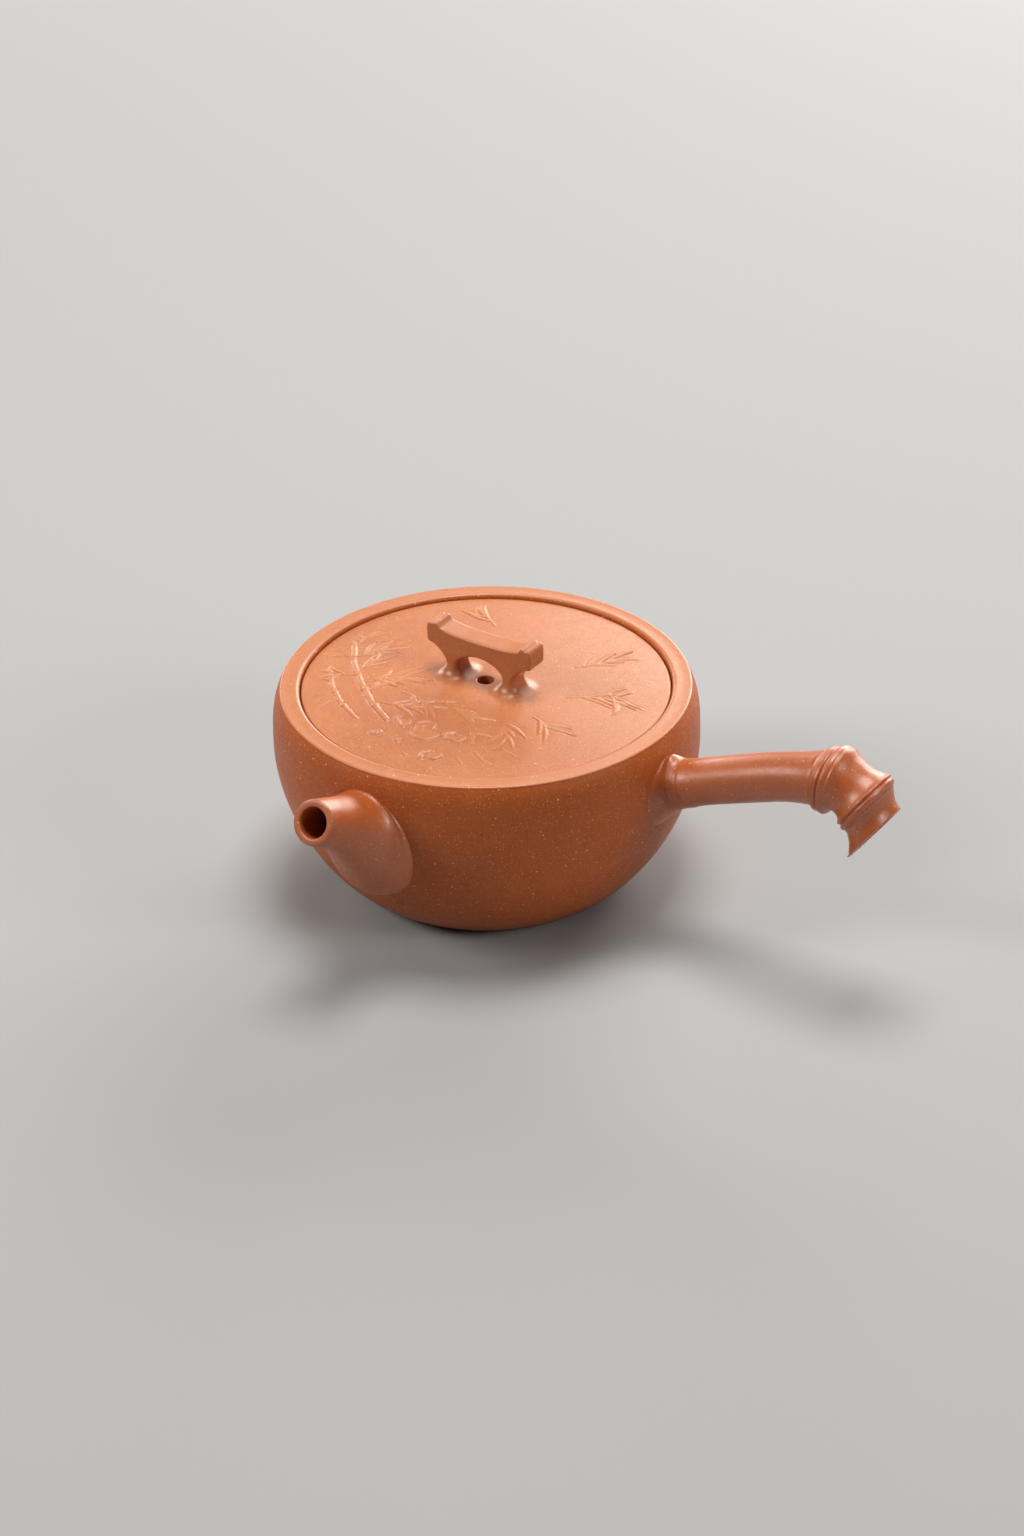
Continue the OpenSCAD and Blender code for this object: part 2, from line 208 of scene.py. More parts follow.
def merged_mesh(name, patches, loose=()):
    """One mesh from grids of points, rows by columns by 3, and loose faces, each with its
    own corners. Faces that share an edge share its points."""
    points, faces, start = [], [], 0
    for patch in patches:
        rows, cols, _ = patch.shape
        i, j = np.meshgrid(np.arange(rows - 1), np.arange(cols - 1), indexing="ij")
        a = start + i * cols + j
        faces += np.stack([a, a + 1, a + cols + 1, a + cols], -1).reshape(-1, 4).tolist()
        points.append(patch.reshape(-1, 3))
        start += rows * cols
    for patch in loose:
        count, corners, _ = patch.shape
        faces += (start + np.arange(count * corners)).reshape(count, corners).tolist()
        points.append(patch.reshape(-1, 3))
        start += count * corners
    points = np.concatenate(points)
    rounded = np.round(points, 4) + 0.0
    _, first, same = np.unique(rounded, axis=0, return_index=True, return_inverse=True)
    same = same.ravel()
    kept = list(clean_faces([[int(same[k]) for k in face] for face in faces]))
    return mesh_object(name, points[first], kept)


def solid(name, patches):
    return soften(merged_mesh(name, patches))


def revolved(name, line, angles):
    """A solid from an outline of (radius, height) turned about the pot's axis."""
    return solid(name, [turned(np.concatenate([line, line[:1]]), angles)])


def placed(piece, body, slot, material, *nodes):
    """Gives a piece its body and material, and hides the CAD nodes it stands for. Its slot is not
    used.
    """
    piece.data.materials.clear()
    piece.data.materials.append(material)
    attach(piece, body)
    if nodes:
        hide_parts(*nodes)
    return piece


# ---- Clay ----

class Nodes:
    """Short ways to add and join the nodes of one material."""

    def __init__(self, name):
        self.material = bpy.data.materials.new(name)
        self.material.use_nodes = True
        self.tree = self.material.node_tree
        self.tree.nodes.clear()

    def add(self, kind, values=(), **settings):
        made = self.tree.nodes.new("ShaderNode" + kind)
        for key, value in settings.items():
            setattr(made, key, value)
        for socket, value in dict(values).items():
            self.feed(made.inputs[socket], value)
        return made

    def feed(self, socket, value):
        if isinstance(value, bpy.types.NodeSocket):
            self.tree.links.new(value, socket)
        else:
            socket.default_value = value

    def math(self, operation, *values):
        return self.add("Math", dict(enumerate(values)), operation=operation).outputs[0]

    def mix(self, factor, a, b):
        """Colour a, and colour b by the share factor."""
        return self.add("Mix", {0: factor, 6: a, 7: b}, data_type="RGBA").outputs[2]

    def spread(self, value, low, high, to_low=0.0, to_high=1.0):
        """value from low..high to to_low..to_high, smoothly."""
        return self.add("MapRange", {0: value, 1: low, 2: high, 3: to_low, 4: to_high},
                        interpolation_type="SMOOTHSTEP").outputs[0]

    def noise(self, where, size, detail=3.0, rough=0.55):
        """Noise whose features are about size mm across."""
        values = {"Vector": where, "Scale": 1 / (size * MM), "Detail": detail, "Roughness": rough}
        return self.add("TexNoise", values).outputs["Fac"]

    def spots(self, where, pitch, radius, share):
        """Round spots of a radius, one in each share of the cells of a pitch, in mm."""
        cells = self.add("TexVoronoi", {"Vector": where, "Scale": 1 / (pitch * MM)})
        reach = radius / pitch
        spot = self.spread(cells.outputs["Distance"], reach * 1.25, reach * 0.6)
        lot = self.add("SeparateColor", {0: cells.outputs["Color"]}).outputs[0]
        return self.math("MULTIPLY", spot, self.math("LESS_THAN", lot, share))


def clay(name, base, roughness=0.42, shine=0.6, gold=0.6, sand=1.0, streaks=0.0,
         relief=False, top=None):
    """Unglazed fired clay: sandy, with pale grains and a few pinholes, painted dark as the
    shade in them. streaks are the fine level lines that a rib leaves on the wall. top is a
    height in mm, and the colour and shine above it, the colour a paler one painted as light
    on a top face. With relief, the carving's ridges are painted lighter, as wear and as
    painted highlight, and its cuts darker, as painted shade."""
    n = Nodes(name)
    deep = tuple(c * k for c, k in zip(base, (0.72, 0.58, 0.50, 1)))
    pale = tuple(min(1, c * k) for c, k in zip(base, (1.22, 1.48, 1.75, 1)))
    where = n.add("TexCoord").outputs["Object"]
    # Above the height top, the colour turns paler and loses its dark mottle: painted light on the
    # top face.
    if top:
        up = n.add("SeparateXYZ", {0: where}).outputs[2]
        share = n.spread(up, (top[0] - 0.3) * MM, top[0] * MM)
        shine = n.spread(up, (top[0] - 0.3) * MM, top[0] * MM, shine, top[2])
        base = n.mix(share, base, top[1])
        deep = n.mix(share, deep, base)
    mottle = n.noise(where, 17)
    cloud = n.noise(where, 4.5)
    grain = n.noise(where, 0.5, rough=0.7)
    fine = n.noise(where, 0.22, 2.0, 0.6)
    colour = n.mix(n.spread(mottle, 0.40, 0.62, 0.22, 0.0), base, deep)
    colour = n.mix(n.spread(cloud, 0.4, 0.75, 0.0, 0.16), colour, pale)
    colour = n.mix(n.spread(grain, 0.5, 0.75, 0.0, 0.5 * sand), colour, pale)
    colour = n.mix(n.spread(grain, 0.5, 0.28, 0.0, 0.5 * sand), colour, deep)
    small_grains = n.spots(where, 0.66, 0.09, 0.85)
    large_grains = n.spots(where, 1.9, 0.19, 0.5)
    grains = n.math("MAXIMUM", small_grains, large_grains)
    # The pinholes are painted near black, as painted shade in holes that the bump only dents.
    pinholes = n.spots(where, 3.1, 0.17, 0.34)
    golden = (0.93, 0.55, 0.25, 1)
    pinhole_shade = (0.07, 0.018, 0.008, 1)
    colour = n.mix(n.math("MULTIPLY", grains, gold), colour, golden)
    colour = n.mix(n.math("MULTIPLY", pinholes, 0.7), colour, pinhole_shade)
    height = n.math("ADD", n.math("MULTIPLY", grain, 0.8), n.math("MULTIPLY", fine, 0.4))
    height = n.math("ADD", height, n.math("MULTIPLY", grains, 0.5))
    height = n.math("SUBTRACT", height, n.math("MULTIPLY", pinholes, 1.2))
    if streaks:
        flat = n.add("Mapping", {"Vector": where, "Scale": (0.06, 0.06, 1.6)}).outputs[0]
        lines = n.noise(flat, 1.0, 2.0, 0.5)
        height = n.math("ADD", height, n.math("MULTIPLY", lines, streaks))
        colour = n.mix(n.spread(lines, 0.42, 0.7, 0.0, 0.14), colour, pale)
    # Painted light and shade on the carving: the ridges are painted lighter, as wear and as painted
    # highlight, and the cuts darker, as painted shade.
    if relief:
        raised = n.add("Attribute", attribute_name="relief").outputs["Fac"]
        colour = n.mix(n.spread(raised, 0.1, 0.9, 0.0, 0.32), colour, pale)
        colour = n.mix(n.spread(raised, -0.05, -0.6, 0.0, 0.35), colour, deep)
    bump = n.add("Bump", {"Height": height, "Strength": 0.6, "Distance": 0.055 * MM})
    gloss = n.spread(n.noise(where, 1.8, rough=0.6), 0.3, 0.7, roughness - 0.05, roughness + 0.07)
    skin = n.add("BsdfPrincipled", {"Base Color": colour, "Roughness": gloss,
                                    "Specular IOR Level": shine, "Normal": bump.outputs[0]})
    n.add("OutputMaterial", {"Surface": skin.outputs[0]})
    return n.material


# The first two are one clay in two copies. The first is darkened as painted shade, for the wall,
# spout and handle. The second is lightened as painted light, for the lid and its parts and the
# rim's top.
SHADED_CLAY = (0.43, 0.098, 0.021, 1)
LIT_CLAY = (0.48, 0.154, 0.049, 1)
UNDER_CLAY = (0.39, 0.098, 0.030, 1)

RIBBED = dict(shine=0.24, sand=1.3, streaks=1.1, gold=0.85)

wall_clay = clay("wall_clay", SHADED_CLAY, **RIBBED)
tube_clay = clay("tube_clay", SHADED_CLAY, shine=0.95, sand=0.8, roughness=0.38)
# The band's top face is painted paler than its sides, as painted light.
band_clay = clay("band_clay", SHADED_CLAY, top=(rim_z - 0.05, LIT_CLAY, 0.9), **RIBBED)
lid_clay = clay("lid_clay", LIT_CLAY, shine=0.75, relief=True)
knob_clay = clay("knob_clay", LIT_CLAY, sand=0.6, gold=0.4, roughness=0.38, shine=0.85)
slip_clay = clay("slip_clay", LIT_CLAY, sand=0.6, gold=0.3, roughness=0.4)
under_clay = clay("under_clay", UNDER_CLAY, roughness=0.6)


# ---- Pot: wall, base, rim and seat ----

SPOUT_ANGLE = 1.5 * pi
HANDLE_ANGLE = 0.0
wall_angles = columns(420, (SPOUT_ANGLE, HANDLE_ANGLE, FULL_TURN))


def wall_line(radius, low, high, step):
    """The pot's outside or inside between two heights, with its points closer together
    near the table."""
    z = low + (high - low) * np.linspace(0, 1, 800) ** (2 if low < base_t + 1 else 1)
    return spaced(np.stack([radius(z), z], -1), step)


def make_wall():
    """The round wall, with a hole behind the spout for the strainer."""
    seam = 1.2
    line = joined(
        wall_line(outer_r, 0, seat_z - seam, 0.5),
        wall_line(outer_r, seat_z - seam, seat_z, 0.12),
        wall_line(inner_r, base_t, seat_z, 0.8)[::-1],
        spaced([(base_disc_r, base_t), (base_disc_r, 0)], 1.5),
        spaced([(base_disc_r, 0), (base_r, 0)], 0.9))
    wall = revolved("body_wall_skin", line, wall_angles)
    hole_low, hole_high = (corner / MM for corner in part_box("spout_strainer"))
    hole_r = (hole_high.x - hole_low.x) / 2
    hole_z = (hole_high.z + hole_low.z) / 2
    hole_from, hole_to = -belly_r - wall_t, -(belly_r - 2 * wall_t)
    sides = np.linspace(0, FULL_TURN, 97)
    ends = [np.stack([hole_r * np.cos(sides), 0 * sides + y, hole_z + hole_r * np.sin(sides)], -1)
            for y in (hole_from, hole_to)]
    caps = [np.stack([0 * end + (0, end[0, 1], hole_z), end]) for end in ends]
    cutter = solid("cutter", [np.stack(ends), *caps])
    cut = wall.modifiers.new("strainer_hole", "BOOLEAN")
    cut.operation = "DIFFERENCE"
    cut.solver = "EXACT"
    cut.object = cutter
    view = bpy.context.evaluated_depsgraph_get()
    wall.data = bpy.data.meshes.new_from_object(wall.evaluated_get(view))
    wall.modifiers.clear()
    bpy.data.objects.remove(cutter)
    return placed(soften(wall), "pot", "clay_wall", wall_clay, "body_wall")


def make_base():
    """The base disc, with the shallow line where it was pressed into the wall."""
    groove = 0.25
    line = joined(
        spaced([(0, base_t), (base_disc_r, base_t)], 1.2),
        spaced([(base_disc_r, base_t), (base_disc_r, groove)], 1.2),
        arc((base_disc_r - groove, groove), groove, 0, -90, 4),
        spaced([(base_disc_r - groove, 0), (0, 0)], 1.2))
    base = revolved("base_disc_skin", line, columns(180))
    return placed(base, "pot", "clay_under", under_clay, "base_disc")


def make_rim():
    """The band round the mouth: a crisp outer edge, a faintly dished top and a soft
    inner edge."""
    crisp, soft, dish = 0.42, 0.9, 0.06
    shoulder_r = outer_r(rim_z - crisp)
    across = np.linspace(0, 1, 15)
    band_r = shoulder_r - crisp + (mouth_r + soft - shoulder_r + crisp) * across
    band = np.stack([band_r, rim_z - dish * np.sin(pi * across)], -1)
    line = joined(
        wall_line(outer_r, seat_z, seat_z + 0.6, 0.12),
        wall_line(outer_r, seat_z + 0.6, rim_z - crisp, 0.3),
        arc((shoulder_r - crisp, rim_z - crisp), crisp, 0, 90, 6),
        band,
        arc((mouth_r + soft, rim_z - soft), soft, 90, 180, 9),
        spaced([(mouth_r, rim_z - soft), (mouth_r, seat_z)], 0.6),
        spaced([(mouth_r, seat_z), (outer_r(seat_z), seat_z)], 1.5))
    rim = revolved("rim_band_skin", line, wall_angles)
    return placed(rim, "pot", "clay_band", band_clay, "rim_band")


def make_seat():
    """The ledge inside the mouth, its inner edge rounded by the sponge."""
    soft, chamfer = 0.45, 0.8
    inside = wall_line(inner_r, base_t, seat_z, 0.4)
    inside = inside[inside[:, 1] > seat_low_z]
    line = joined(
        [(inner_r(seat_low_z), seat_low_z)],
        inside,
        spaced([(inner_r(seat_z), seat_z), (seat_r + soft, seat_z)], 0.7),
        arc((seat_r + soft, seat_z - soft), soft, 90, 180, 6),
        spaced([(seat_r, seat_z - soft), (seat_r, seat_low_z + chamfer)], 0.5),
        spaced([(seat_r + chamfer, seat_low_z), (inner_r(seat_low_z), seat_low_z)], 0.8))
    seat = revolved("lid_seat_skin", line, columns(300))
    return placed(seat, "pot", "clay_band", band_clay, "lid_seat")


def colour_strainer():
    """The strainer is shown as the design has it, in the same clay as the base."""
    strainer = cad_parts["spout_strainer"]
    strainer.data.materials.clear()
    strainer.data.materials.append(under_clay)


# ---- Tubes through stations: the spout and the handle ----
#
# A station is [along, up, tilt in degrees, half width, half height], in the upright plane
# through the pot's axis. The design has the same stations, but for the collar's. A ring
# has its points at the angles tube_sides, and a tube's root goes SINK mm into the wall.

tube_sides = np.linspace(0, FULL_TURN, 121)
SINK = 0.05


def oval_station(out, above, tilt, half_w, half_h):
    return [belly_r + out, belly_z + above, tilt, half_w, half_h]


def round_station(out, above, tilt, r):
    return oval_station(out, above, tilt, r, r)


def between(stations, at):
    """Stations at fractional indices, on a smooth curve through the given ones."""
    stations = np.asarray(stations, float)
    at = np.clip(np.asarray(at, float), 0, len(stations) - 1)
    i = np.minimum(at.astype(int), len(stations) - 2)
    t = (at - i)[:, None]
    p0, p1 = stations[np.maximum(i - 1, 0)], stations[i]
    p2, p3 = stations[i + 1], stations[np.minimum(i + 2, len(stations) - 1)]
    return 0.5 * (2 * p1 + (p2 - p0) * t + (2 * p0 - 5 * p1 + 4 * p2 - p3) * t * t
                  + (3 * p1 - p0 - 3 * p2 + p3) * t ** 3)


def skin_points(stations, sides):
    """The point of each station's oval at each angle in sides."""
    along, up, tilt, half_w, half_h = np.moveaxis(stations, -1, 0)
    lean = np.radians(tilt)
    height = half_h * np.sin(sides)
    return np.stack([along - height * np.sin(lean), half_w * np.cos(sides),
                     up + height * np.cos(lean)], -1)


def rings(stations):
    return skin_points(np.asarray(stations, float)[:, None, :], tube_sides[None, :])


def shrunk(stations, t):
    return np.asarray(stations, float) - (0, 0, 0, t, t)


def even_indices(stations, first, last, step):
    """Fractional indices from first to last, evenly apart along the tube's skin."""
    fine = np.linspace(first, last, 60 * max(1, round(last - first)) + 1)
    top = skin_points(between(stations, fine), np.full(len(fine), pi / 2))
    side = skin_points(between(stations, fine), np.zeros(len(fine)))
    hops = [np.linalg.norm(np.diff(line, axis=0), axis=1) for line in (top, side)]
    run = np.concatenate([[0], np.cumsum(sum(hops) / 2)])
    count = max(2, ceil(run[-1] / step) + 1)
    return np.interp(np.linspace(0, run[-1], count), run, fine)


def meets_wall(stations, last):
    """For each side of a tube, the fractional station where its skin enters the wall."""
    low, high = np.zeros(len(tube_sides)), np.full(len(tube_sides), float(last))
    for _ in range(40):
        middle = (low + high) / 2
        p = skin_points(between(stations, middle), tube_sides)
        inside = np.hypot(p[:, 0], p[:, 1]) < outer_r(p[:, 2]) - SINK
        low, high = np.where(inside, middle, low), np.where(inside, high, middle)
    return high


def rooted(stations, joint, rows):
    """The skin from the wall out to the station numbered joint, its rows closer together
    at the wall."""
    root = meets_wall(stations, joint)
    share = np.linspace(0, 1, rows) ** 1.5
    at = root[None, :] + (joint - root)[None, :] * share[:, None]
    return skin_points(between(stations, at.ravel()).reshape(rows, len(tube_sides), 5),
                       tube_sides[None, :])


def on_wall(outer_ring, inner_ring, rows=7):
    """The hidden face that lies against the wall, from one ring to another."""
    polar = [np.stack([np.arctan2(ring[:, 1], ring[:, 0]), ring[:, 2]], -1)
             for ring in (outer_ring, inner_ring)]
    face = []
    for share in np.linspace(0, 1, rows):
        angle, z = np.moveaxis(polar[0] * (1 - share) + polar[1] * share, -1, 0)
        r = outer_r(z) - SINK
        face.append(np.stack([r * np.cos(angle), r * np.sin(angle), z], -1))
    face[0], face[-1] = outer_ring, inner_ring
    return np.stack(face)


def stations_off(station, line):
    """Round stations set off along a station's own axis: a line of (distance, radius)."""
    along, up, tilt = station[:3]
    c, s = cos(radians(tilt)), sin(radians(tilt))
    return [[along + w * c, up + w * s, tilt, r, r] for w, r in line]


def spout_side(points):
    """Turns points drawn along +X to -Y."""
    return np.stack([points[..., 1], -points[..., 0], points[..., 2]], -1)


def swollen(points, centres, amount):
    """Points moved away from their ring's centre by an amount each."""
    away = points - centres
    away /= np.linalg.norm(away, axis=-1, keepdims=True)
    return points + away * amount[..., None]


def wall_lip(points, height, width):
    """How much the edge of slip where a tube meets the wall stands out, at each point."""
    off = np.hypot(points[..., 0], points[..., 1]) - outer_r(points[..., 2])
    return height * np.exp(-(off / width) ** 2)


def make_spout():
    """The spout: a trumpet foot with a crisp edge on the wall, and a softly rounded
    mouth."""
    spout_r, bore_r, bore_l = 4.8, 3.3, 8.0
    foot_rows = [(-6.5, -6, -8, 11, 13.1), (-3.5, -5.5, -8, 11, 13.1), (-1.1, -4.9, -5, 10.9, 12.9),
                 (0.4, -3.6, 3, 9.9, 11.6), (2.4, -1.1, 12, 8.2, 9.3), (4.8, 1.7, 20, 6.8, 7.3),
                 (7.6, 4, 25, 5.9, 6.1)]
    tube_rows = [(10.6, 5.95, 26, spout_r + 0.6), (13.8, 7.7, 26, spout_r + 0.25),
                 (16.9, 9.2, 26, spout_r)]
    stations = np.array([oval_station(*row) for row in foot_rows]
                        + [round_station(*row) for row in tube_rows])
    tip, neck = len(stations) - 1, len(foot_rows) - 1
    mouth = stations[tip]
    soft_out, soft_in, flare_wall = 0.45, 0.3, 2.6
    flare_rows = 46
    flare = rooted(stations, neck, flare_rows)
    centre = between(stations, [neck])[0]
    lip = wall_lip(flare, 0.36, 0.6)
    flare = swollen(flare, np.array([centre[0], 0, centre[1]]), lip)
    tube = rings(between(stations, even_indices(stations, neck, tip - 0.2, 0.32)))
    lip_line = joined(
        arc((-soft_out, spout_r - soft_out), soft_out, 90, 0, 7),
        arc((-soft_in, bore_r + soft_in), soft_in, 0, -90, 7))
    edge = rings(stations_off(mouth, lip_line))
    throat = stations_off(mouth, [(-soft_in, bore_r), (-bore_l / 2, bore_r), (-bore_l, bore_r)])
    bore = rings(throat)
    hollow_stations = np.concatenate([shrunk(stations[:neck], flare_wall), [throat[-1]]])
    hollow = rooted(hollow_stations, len(hollow_stations) - 1, 18)
    outside = np.concatenate([flare, tube[1:], edge])
    inside = np.concatenate([edge[-1:], bore[1:], hollow[::-1][1:]])
    back = on_wall(inside[-1], outside[0])
    spout = solid("spout_skin", [spout_side(p) for p in (outside, inside, back)])
    return placed(spout, "pot", "clay_wall", tube_clay, "spout")


# The handle's centre line and radii. The first eight stations are the collar, set back
# from the shank's first station along its own axis
SHANK_START = round_station(6, 3.9, 21, 5.2)
COLLAR_BACK = [(-11, 8.4), (-8, 7.2), (-6.4, 6.4), (-5.4, 6.05), (-4.4, 6.1), (-3.3, 6.25),
               (-2.3, 6.1), (-1.2, 5.4)]
SHANK_ON = [
    (10, 5.6, 21, 5), (20, 9.5, 20, 5.15), (28, 12.4, 17, 5.2), (33.5, 14, 11, 5.45),
    (37, 14.9, 3, 6), (38.3, 15.2, -2, 6.9), (39.2, 15.4, -4, 6.65), (40.2, 15.6, -5, 7.4),
    (41.6, 16, -9, 7), (43.2, 15.3, -15, 6.2), (44.9, 14.3, -26, 6.1), (46.3, 13.7, -34, 6.6),
    (47.1, 13.2, -36, 7.3), (47.6, 12.7, -36, 7), (48.1, 12.1, -36, 7.25),
    (48.7, 10.8, -36, 6.6), (49.2, 8.6, -36, 6.5), (49.9, 6, -36, 7.35)]
HANDLE = np.array(stations_off(SHANK_START, COLLAR_BACK) + [SHANK_START]
                  + [round_station(*row) for row in SHANK_ON])
COLLAR_END = len(COLLAR_BACK)
SHANK_END, INNER_JOINT_END, MIDDLE_END, OUTER_JOINT_END = (COLLAR_END + k for k in (5, 9, 12, 16))
HANDLE_TIP = len(HANDLE) - 1
HANDLE_WALL = 2.2

# Beads and grooves at the joints: [station past the collar, height, half width]. A height
# below zero is a groove
JOINT_MARKS = [
    (5.2, -0.14, 0.45), (6, 0.08, 0.4), (6.85, 0.3, 0.3), (7.4, -0.3, 0.17), (8, 0.12, 0.4),
    (8.75, -0.16, 0.25), (13, 0.08, 0.2), (13.7, -0.06, 0.15), (14.4, 0.26, 0.25),
    (15, 0.12, 0.22), (15.45, -0.2, 0.22), (16, -0.08, 0.5)]


def handle_rows(first, last, step=0.12):
    """Stations along the handle, with the joints' beads and grooves added to them."""
    rows = between(HANDLE, even_indices(HANDLE, first, last, step))
    for mark, height, half_w in JOINT_MARKS:
        middle = between(HANDLE, [COLLAR_END + mark])[0]
        away = np.hypot(rows[:, 0] - middle[0], rows[:, 1] - middle[1])
        lift = height * np.exp(-(away / half_w) ** 2)
        rows[:, 3:] += lift[:, None]
    return rows


def tube_piece(name, outer, inner, root=None):
    """A closed length of tube from its outer and inner grids, both from root to tip. Its
    root is plain unless a grid is given for it."""
    tip = np.stack([outer[-1], inner[-1]])
    if root is None:
        root = np.stack([inner[0], outer[0]])
    return solid(name, [outer, inner[::-1], tip, root])


def make_collar():
    """The slip collar that roots the handle: a bud on its top, a fine ring at the wall,
    and a smooth swelling all round."""
    outer = rooted(HANDLE, COLLAR_END, 64)
    start = np.array([SHANK_START[0], 0, SHANK_START[1]])
    lean = radians(SHANK_START[2])
    axis = np.array([cos(lean), 0, sin(lean)])
    back = (outer - start) @ axis
    centres = start + back[..., None] * axis
    smooth_fade = np.interp(back, [-5.8, -5.0, -4.2, -3.3, -2.3, -1.2, 0],
                            [0, -0.32, -0.6, -0.85, -0.82, -0.16, 0])
    off_top = np.angle(np.exp(1j * (tube_sides - radians(93))))
    ridge = np.exp(-(off_top / 0.42) ** 2)[None, :]
    upper = np.clip(np.sin(tube_sides) * 0.8 + 0.45, 0, 1)[None, :]
    bud = 0.42 * np.exp(-(off_top / 0.38) ** 2)[None, :] * np.exp(-((back + 2.7) / 0.75) ** 2)
    crease = upper * (wall_lip(outer, 0.1, 0.7) - wall_lip(outer, 0.34, 1.25)
                      + wall_lip(outer, 0.34, 1.9) * 0.7)
    lip = wall_lip(outer, 0.2, 0.38)
    outer = swollen(outer, centres, bud + lip + crease + smooth_fade * (1 - ridge))
    hollow = stations_off(SHANK_START, [(-11, 3.0), (0, SHANK_START[3] - HANDLE_WALL)])
    inner = rooted(np.array(hollow), 1, 8)
    root = on_wall(inner[0], outer[0])
    collar = tube_piece("handle_root_collar_skin", outer, inner, root)
    return placed(collar, "pot", "clay_wall", tube_clay, "handle_root_collar")


def make_length(node, first, last):
    """One hollow length of the handle between two stations."""
    rows = handle_rows(first, last)
    piece = tube_piece(node + "_skin", rings(rows), rings(shrunk(rows, HANDLE_WALL)))
    return placed(piece, "pot", "clay_wall", tube_clay, node)


def make_outer_joint():
    """The outer joint, closed by a web with an air hole."""
    rows = handle_rows(MIDDLE_END, OUTER_JOINT_END)
    web = HANDLE[MIDDLE_END + 1]
    web_r, air_r, half = web[3] - HANDLE_WALL, 1.0, HANDLE_WALL / 2
    inner = shrunk(rows, HANDLE_WALL)
    lean = np.radians(web[2])
    ahead = (inner[:, 0] - web[0]) * cos(lean) + (inner[:, 1] - web[1]) * sin(lean)
    before, after = inner[ahead < -half], inner[ahead > half]
    line = [(-half, web_r), (-half, air_r), (half, air_r), (half, web_r)]
    across = np.concatenate([before, stations_off(web, line), after])
    piece = tube_piece("handle_outer_joint_skin", rings(rows), rings(across))
    return placed(piece, "pot", "clay_wall", tube_clay, "handle_outer_joint")


def make_handle_end():
    """The flared open end, with a thin crisp lip."""
    rows = handle_rows(OUTER_JOINT_END, HANDLE_TIP)
    lip_swell = 0.05
    tip = HANDLE[HANDLE_TIP] + (0, 0, 0, lip_swell, lip_swell)
    crisp = 0.3
    kept = rows[:-2]
    lip_line = joined(
        arc((-crisp, tip[3] - crisp), crisp, 90, 0, 5),
        arc((-crisp, tip[3] - HANDLE_WALL + crisp), crisp, 0, -90, 5))
    lip = rings(stations_off(tip, lip_line))
    outer = np.concatenate([rings(kept), lip])
    inner = np.concatenate([rings(shrunk(kept, HANDLE_WALL)), lip[-1:]])
    piece = tube_piece("handle_end_skin", outer, inner)
    return placed(piece, "pot", "clay_wall", tube_clay, "handle_end")


# ---- Relief on the lid: bamboo and garden rocks, in strokes of a tool ----
#
# Each stroke is a function from places on the lid to a height in mm.

RIDGE = 0.2


def leaf(x, y, heading, length, width):
    """A pointed leaf with a ridge down its middle and a fine cut along its edge."""
    c, s = cos(radians(heading)), sin(radians(heading))

    def stroke(px, py):
        t = ((px - x) * c + (py - y) * s) / length
        bend = 0.06 * length * np.sin(pi * np.clip(t, 0, 1))
        across = np.abs((py - y) * c - (px - x) * s - bend)
        inside = (t > 0) & (t < 1)
        half = np.where(inside, width / 2 * np.sin(pi * np.clip(t, 0, 1) ** 0.75) ** 0.8, 0)
        body = RIDGE * np.clip(1 - across / np.maximum(half, 1e-3), 0, 1) ** 0.7
        cut = -0.45 * RIDGE * np.exp(-((across - half - 0.12) / 0.16) ** 2) * inside
        return np.where(inside & (across < half), body, cut * (half > 0.12))
    return stroke


def band(points, width, height, knots=()):
    """A raised band along a line, such as a culm or a twig, waisted at its knots."""
    points = np.asarray(points, float)
    hops = np.linalg.norm(np.diff(points, axis=0), axis=1)
    start = np.concatenate([[0], np.cumsum(hops)])

    def stroke(px, py):
        near, at = np.full(px.shape, 1e9), np.zeros(px.shape)
        for a, b, hop, run in zip(points, points[1:], hops, start):
            dx, dy = b - a
            t = np.clip(((px - a[0]) * dx + (py - a[1]) * dy) / hop ** 2, 0, 1)
            off = np.hypot(px - a[0] - t * dx, py - a[1] - t * dy)
            at = np.where(off < near, run + t * hop, at)
            near = np.minimum(off, near)
        half = width / 2 * np.ones(px.shape)
        lift = height * np.ones(px.shape)
        for knot in knots:
            mark = np.exp(-((at - knot * start[-1]) / 0.35) ** 2)
            half = half + 0.25 * width * mark
            lift = lift + 0.5 * height * mark - 1.6 * height * np.exp(
                -((at - knot * start[-1] - 0.75) / 0.22) ** 2)
        body = lift * np.sqrt(np.clip(1 - (near / half) ** 2, 0, 1))
        cut = -0.5 * height * np.exp(-((near - half - 0.1) / 0.15) ** 2)
        return np.where(near < half, body, cut)
    return stroke


def rock(seed, x, y, size, height=0.22):
    """A garden rock: a low lobed mound with a cut outline and a fold or two."""
    turns = np.random.default_rng(seed).uniform(0, FULL_TURN, 4)

    def stroke(px, py):
        r, a = np.hypot(px - x, (py - y) * 1.3), np.arctan2(py - y, px - x)
        edge = size * (1 + 0.17 * np.sin(2 * a + turns[0]) + 0.13 * np.sin(3 * a + turns[1])
                       + 0.07 * np.sin(5 * a + turns[2]))
        inside = np.clip((edge - r) / 0.45, 0, 1)
        bead = height * np.exp(-((r - edge + 0.5) / 0.35) ** 2)
        fold = -0.8 * height * np.exp(-((r - 0.45 * edge) / 0.22) ** 2) * (np.sin(a + turns[3]) > 0)
        body = inside * (0.45 * height + fold) + bead
        return body - 0.55 * height * np.exp(-((r - edge - 0.15) / 0.22) ** 2)
    return stroke


